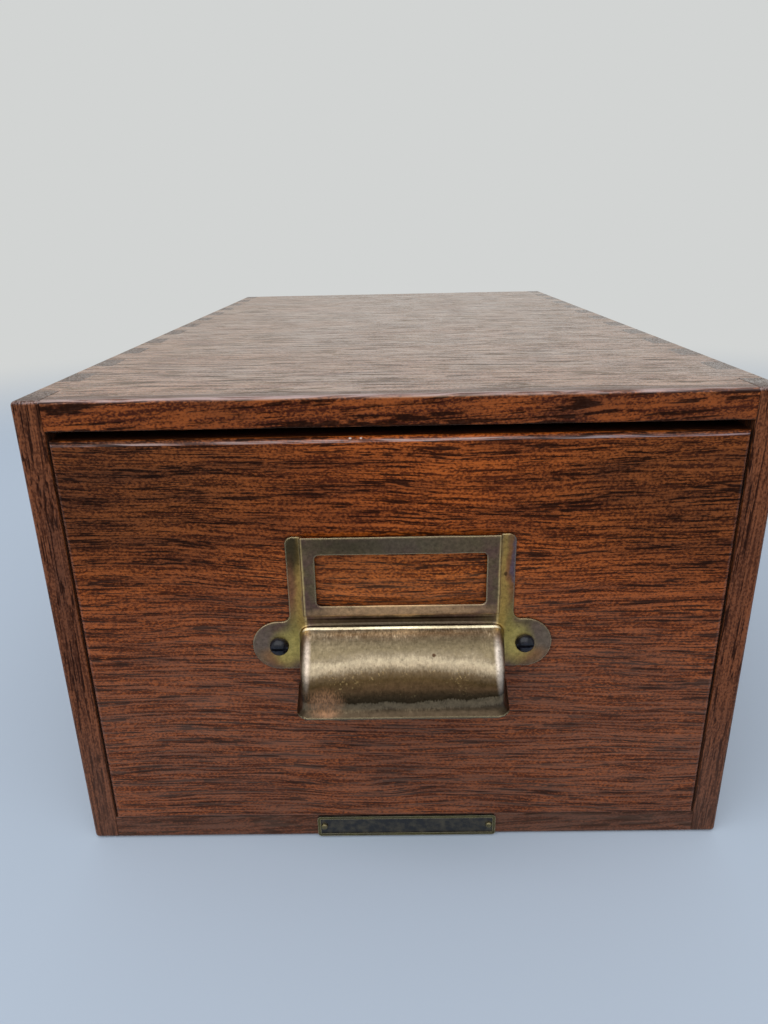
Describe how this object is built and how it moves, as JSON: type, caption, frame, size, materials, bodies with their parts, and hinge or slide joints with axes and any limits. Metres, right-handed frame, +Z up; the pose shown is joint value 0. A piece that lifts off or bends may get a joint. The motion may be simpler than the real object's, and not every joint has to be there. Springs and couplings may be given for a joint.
{
  "type": "index card drawer",
  "caption": "Desk-top wooden case with finger-jointed corners, one sliding card drawer, a stamped card-frame pull and a sliding follower with a locking lever.",
  "frame": {"origin": "centre of the case's bottom face", "axes": "+X to the right seen from the front, +Y from the front to the rear, +Z up"},
  "size_m": [0.1906, 0.3421, 0.1365],
  "materials": {
    "case_wood": "satin shellac over stained oak",
    "front_wood": "satin shellac over stained oak",
    "inner_wood": "bare planed hardwood",
    "pull_brass": "aged, worn bright on the cup",
    "plate_brass": "aged, dark enamelled field",
    "pin_brass": "aged",
    "black_screw": "black japanned steel",
    "bright_steel": "dull plated steel"
  },
  "bodies": {
    "case": {"case_left_side": "case_wood", "case_right_side": "case_wood", "case_top": "case_wood", "case_bottom": "case_wood", "case_back": "case_wood", "back_brads": "bright_steel", "drawer_stops": "inner_wood", "stop_brads": "bright_steel", "nameplate": "plate_brass", "nameplate_pins": "pin_brass"},
    "drawer": {"drawer_front": "front_wood", "drawer_left_side": "inner_wood", "drawer_right_side": "inner_wood", "front_left_brads": "bright_steel", "front_right_brads": "bright_steel", "drawer_back": "inner_wood", "drawer_bottom": "inner_wood", "bottom_brads": "bright_steel", "card_pull": "pull_brass", "pull_screws": "black_screw", "follower_rail": "bright_steel", "rail_screws": "bright_steel"},
    "follower": {"follower_shoe": "bright_steel", "follower_block": "front_wood", "block_screws": "bright_steel", "lever_pin": "bright_steel"},
    "lever": {"follower_lever": "bright_steel"}
  },
  "joints": [
    {"name": "drawer_slide", "type": "slide", "parent": "case", "child": "drawer", "axis": [0, -1, 0], "range_m": [0, 0.25]},
    {"name": "follower_slide", "type": "slide", "parent": "drawer", "child": "follower", "axis": [0, -1, 0], "range_m": [0, 0.19]},
    {"name": "lever_pivot", "type": "hinge", "parent": "follower", "child": "lever", "pos_m": [0, 0.10593, 0.0285], "axis": [1, 0, 0], "range_deg": [0, 75]}
  ]
}
